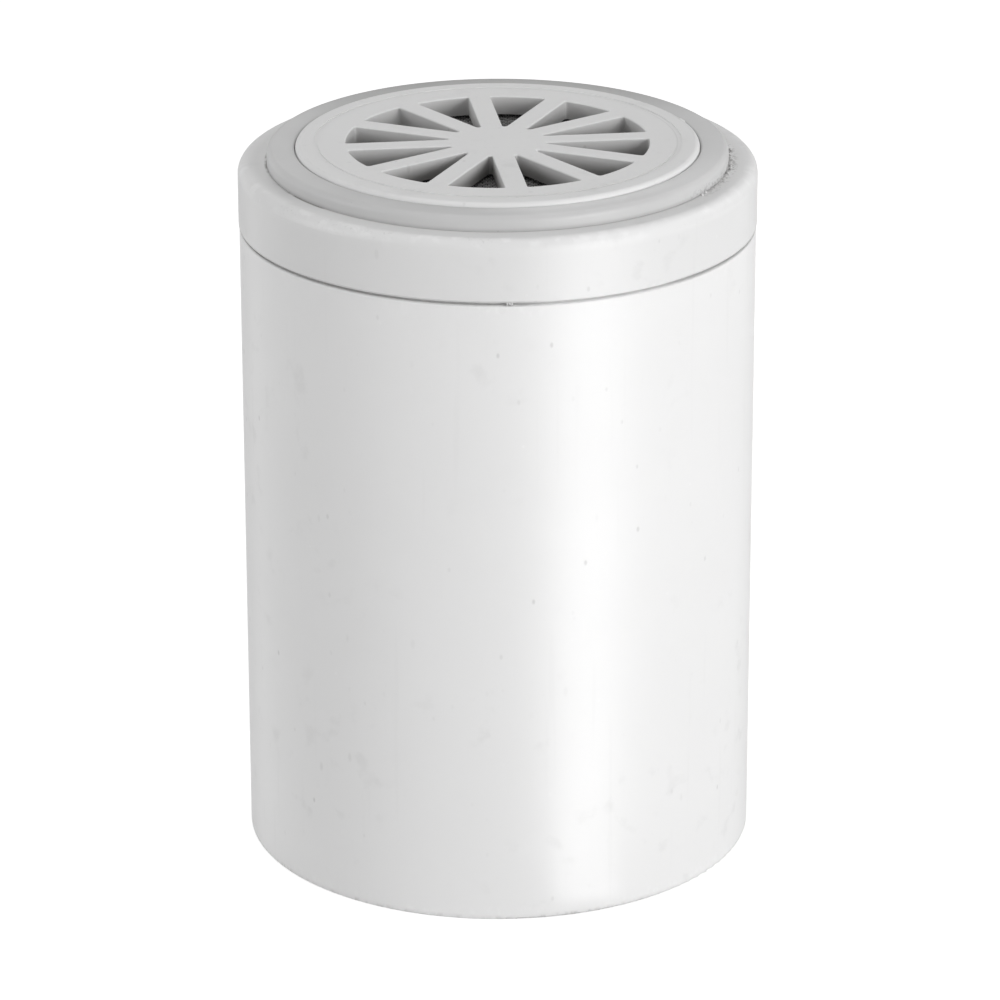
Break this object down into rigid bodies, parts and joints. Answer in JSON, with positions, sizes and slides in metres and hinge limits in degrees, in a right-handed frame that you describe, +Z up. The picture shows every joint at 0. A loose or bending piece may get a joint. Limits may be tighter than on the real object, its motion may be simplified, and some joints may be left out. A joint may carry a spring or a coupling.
{
  "type": "shower filter cartridge",
  "caption": "White cylindrical filter cartridge for a shower filter: flush cap with a grey gasket round a raised, spoke-slotted inlet disc; stacked filter media and a slotted base.",
  "frame": {"origin": "centre of the base, on the surface it stands on", "axes": "+Z up along the cartridge's axis, from the slotted base to the inlet disc; -Y is the side seen from the front"},
  "size_m": [0.064, 0.064, 0.0906],
  "materials": {
    "canister_plastic": "satin",
    "cap_plastic": "satin",
    "gasket_silicone": "matte",
    "seal_silicone": "matte",
    "woven_steel": "satin",
    "rolled_steel": "satin",
    "pad_felt": "matte",
    "divider_cloth": "matte",
    "sulfite_beads": "matte",
    "copper_zinc_granules": "satin",
    "carbon_granules": "matte",
    "alkaline_ceramic": "matte",
    "mineral_ceramic": "matte",
    "tourmaline_ceramic": "matte"
  },
  "bodies": {
    "canister": {"canister_body": "canister_plastic", "cap_seal_ring": "seal_silicone", "outlet_screen_mesh": "woven_steel", "outlet_screen_ring": "rolled_steel", "inlet_pad": "pad_felt", "outlet_pad": "pad_felt", "sulfite_bed": "sulfite_beads", "copper_zinc_bed": "copper_zinc_granules", "carbon_bed": "carbon_granules", "alkaline_balls": "alkaline_ceramic", "mineral_balls": "mineral_ceramic", "tourmaline_balls": "tourmaline_ceramic", "stage_divider_1": "divider_cloth", "stage_divider_2": "divider_cloth", "stage_divider_3": "divider_cloth", "stage_divider_4": "divider_cloth", "stage_divider_5": "divider_cloth"},
    "cap": {"end_cap": "cap_plastic", "inlet_screen_mesh": "woven_steel", "inlet_screen_ring": "rolled_steel"},
    "gasket": {"inlet_gasket": "gasket_silicone"}
  },
  "joints": [
    {"name": "cap_lift", "type": "slide", "parent": "canister", "child": "cap", "axis": [0, 0, 1], "range_m": [0, 0.03]},
    {"name": "gasket_lift", "type": "slide", "parent": "cap", "child": "gasket", "axis": [0, 0, 1], "range_m": [0, 0.02]}
  ]
}
